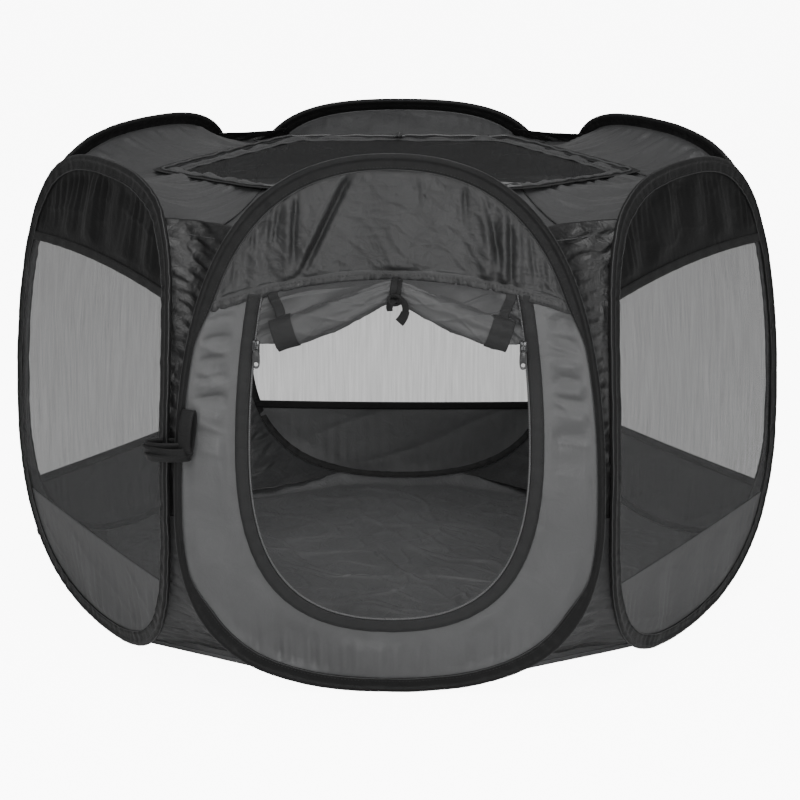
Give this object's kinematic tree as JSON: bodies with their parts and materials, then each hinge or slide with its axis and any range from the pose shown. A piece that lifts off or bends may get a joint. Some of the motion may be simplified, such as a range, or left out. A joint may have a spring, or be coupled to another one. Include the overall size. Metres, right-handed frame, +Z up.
{
  "type": "pet playpen",
  "caption": "Pop-up pet playpen: sprung fabric walls in a ring with mesh windows, a zip-in mesh roof hatch, a sewn-in floor and a door that rolls up and ties open.",
  "frame": {"origin": "centre of the floor's underside, on the ground", "axes": "+Z up, door wall towards -Y, +X to the right of someone looking at the door"},
  "size_m": [1.2144, 1.1066, 0.759],
  "materials": {
    "spring_steel": "flat spring steel wire, oiled",
    "ferrule_steel": "crimped steel tube",
    "sleeve_cloth": "woven polyester, charcoal, slight sheen",
    "front_band_cloth": "coated polyester, dark grey, satin",
    "side_band_cloth": "coated polyester, near black",
    "window_mesh": "knitted open mesh, black",
    "binding_tape": "grosgrain binding tape, black",
    "skirt_cloth": "coated polyester, dark grey",
    "door_wall_cloth": "coated polyester, mid grey, satin",
    "zip_tape": "woven zip tape with nylon coil",
    "webbing": "woven webbing, black",
    "rolled_door_cloth": "coated polyester, mid grey, glossy folds",
    "roof_cloth": "coated polyester, dark grey, satin",
    "gusset_cloth": "coated polyester, dark, shiny",
    "floor_cloth": "heavy coated polyester, dark grey",
    "zip_slider_metal": "die-cast slider, dark coating",
    "pull_tab": "moulded pull tab, dark"
  },
  "bodies": {
    "front_wall": {"spring_loop_front": "spring_steel", "ferrule_front": "ferrule_steel", "sleeve_front": "sleeve_cloth", "upper_panel_front": "front_band_cloth", "door_surround": "door_wall_cloth", "door_zipper_tape": "zip_tape", "door_tie": "webbing", "roof_fabric": "roof_cloth", "roof_zipper_tape": "zip_tape", "upper_gussets": "gusset_cloth", "lower_gussets": "gusset_cloth", "floor_panel": "floor_cloth", "carry_strap": "webbing"},
    "front_left_wall": {"spring_loop_front_left": "spring_steel", "ferrule_front_left": "ferrule_steel", "sleeve_front_left": "sleeve_cloth", "upper_panel_front_left": "front_band_cloth", "mesh_window_front_left": "window_mesh", "window_tapes_front_left": "binding_tape", "lower_panel_front_left": "skirt_cloth"},
    "front_right_wall": {"spring_loop_front_right": "spring_steel", "ferrule_front_right": "ferrule_steel", "sleeve_front_right": "sleeve_cloth", "upper_panel_front_right": "front_band_cloth", "mesh_window_front_right": "window_mesh", "window_tapes_front_right": "binding_tape", "lower_panel_front_right": "skirt_cloth"},
    "back_left_wall": {"spring_loop_back_left": "spring_steel", "ferrule_back_left": "ferrule_steel", "sleeve_back_left": "sleeve_cloth", "upper_panel_back_left": "side_band_cloth", "mesh_window_back_left": "window_mesh", "window_tapes_back_left": "binding_tape", "lower_panel_back_left": "skirt_cloth"},
    "back_right_wall": {"spring_loop_back_right": "spring_steel", "ferrule_back_right": "ferrule_steel", "sleeve_back_right": "sleeve_cloth", "upper_panel_back_right": "side_band_cloth", "mesh_window_back_right": "window_mesh", "window_tapes_back_right": "binding_tape", "lower_panel_back_right": "skirt_cloth"},
    "back_wall": {"spring_loop_back": "spring_steel", "ferrule_back": "ferrule_steel", "sleeve_back": "sleeve_cloth", "upper_panel_back": "side_band_cloth", "mesh_window_back": "window_mesh", "window_tapes_back": "binding_tape", "lower_panel_back": "skirt_cloth"},
    "door_roll": {"door_roll": "rolled_door_cloth", "door_roll_bindings": "zip_tape"},
    "left_zip_slider": {"slider_left": "zip_slider_metal"},
    "left_zip_pull": {"pull_left": "pull_tab"},
    "right_zip_slider": {"slider_right": "zip_slider_metal"},
    "right_zip_pull": {"pull_right": "pull_tab"},
    "hatch": {"hatch_zipper_tape": "zip_tape", "hatch_border": "roof_cloth", "hatch_mesh": "window_mesh"},
    "hatch_zip_slider": {"hatch_slider": "zip_slider_metal"},
    "hatch_zip_pull": {"hatch_pull": "pull_tab"}
  },
  "joints": [
    {"name": "fold", "type": "hinge", "parent": "front_wall", "child": "front_left_wall", "pos_m": [-0.3, -0.51962, 0.264], "axis": [0, 0, 1], "range_deg": [0, 33], "deforming": ["roof_fabric", "roof_zipper_tape", "upper_gussets", "lower_gussets", "floor_panel", "carry_strap", "hatch_zipper_tape", "hatch_border", "hatch_mesh", "hatch_slider", "hatch_pull"]},
    {"name": "back_left_fold", "type": "hinge", "parent": "front_left_wall", "child": "back_left_wall", "pos_m": [-0.58614, 0, 0.264], "axis": [0, 0, 1], "range_deg": [-66, 0]},
    {"name": "back_fold", "type": "hinge", "parent": "back_left_wall", "child": "back_wall", "pos_m": [-0.3, 0.51962, 0.264], "axis": [0, 0, 1], "range_deg": [0, 33]},
    {"name": "front_right_fold", "type": "hinge", "parent": "front_wall", "child": "front_right_wall", "pos_m": [0.3, -0.51962, 0.264], "axis": [0, 0, 1], "range_deg": [-33, 0]},
    {"name": "back_right_fold", "type": "hinge", "parent": "front_right_wall", "child": "back_right_wall", "pos_m": [0.58614, 0, 0.264], "axis": [0, 0, 1], "range_deg": [0, 66]},
    {"name": "door_unroll", "type": "slide", "parent": "front_wall", "child": "door_roll", "axis": [0, 0, -1], "range_m": [0, 0.36], "deforming": ["door_tie"]},
    {"name": "left_zip_run", "type": "slide", "parent": "front_wall", "child": "left_zip_slider", "axis": [-0.0663, -0.0756, -0.9949], "range_m": [0, 0.15]},
    {"name": "left_pull_swing", "type": "hinge", "parent": "left_zip_slider", "child": "left_zip_pull", "pos_m": [-0.181, -0.51827, 0.5055], "axis": [-1, 0, 0], "range_deg": [0, 150]},
    {"name": "right_zip_run", "type": "slide", "parent": "front_wall", "child": "right_zip_slider", "axis": [0.0663, -0.0756, -0.9949], "range_m": [0, 0.15]},
    {"name": "right_pull_swing", "type": "hinge", "parent": "right_zip_slider", "child": "right_zip_pull", "pos_m": [0.181, -0.51827, 0.5055], "axis": [-1, 0, 0], "range_deg": [0, 150]},
    {"name": "hatch_lift", "type": "slide", "parent": "front_wall", "child": "hatch", "axis": [0, 0, 1], "range_m": [0, 0.3]},
    {"name": "hatch_zip_run", "type": "slide", "parent": "hatch", "child": "hatch_zip_slider", "axis": [1, 0, 0], "range_m": [0, 0.16]},
    {"name": "hatch_pull_swing", "type": "hinge", "parent": "hatch_zip_slider", "child": "hatch_zip_pull", "pos_m": [0, 0.31783, 0.67519], "axis": [-1, 0, 0], "range_deg": [0, 150]}
  ],
  "couplings": [
    {"joint": "back_left_fold", "follows": "fold", "ratio": -2},
    {"joint": "back_fold", "follows": "fold", "ratio": 1},
    {"joint": "front_right_fold", "follows": "fold", "ratio": -1},
    {"joint": "back_right_fold", "follows": "fold", "ratio": 2}
  ]
}
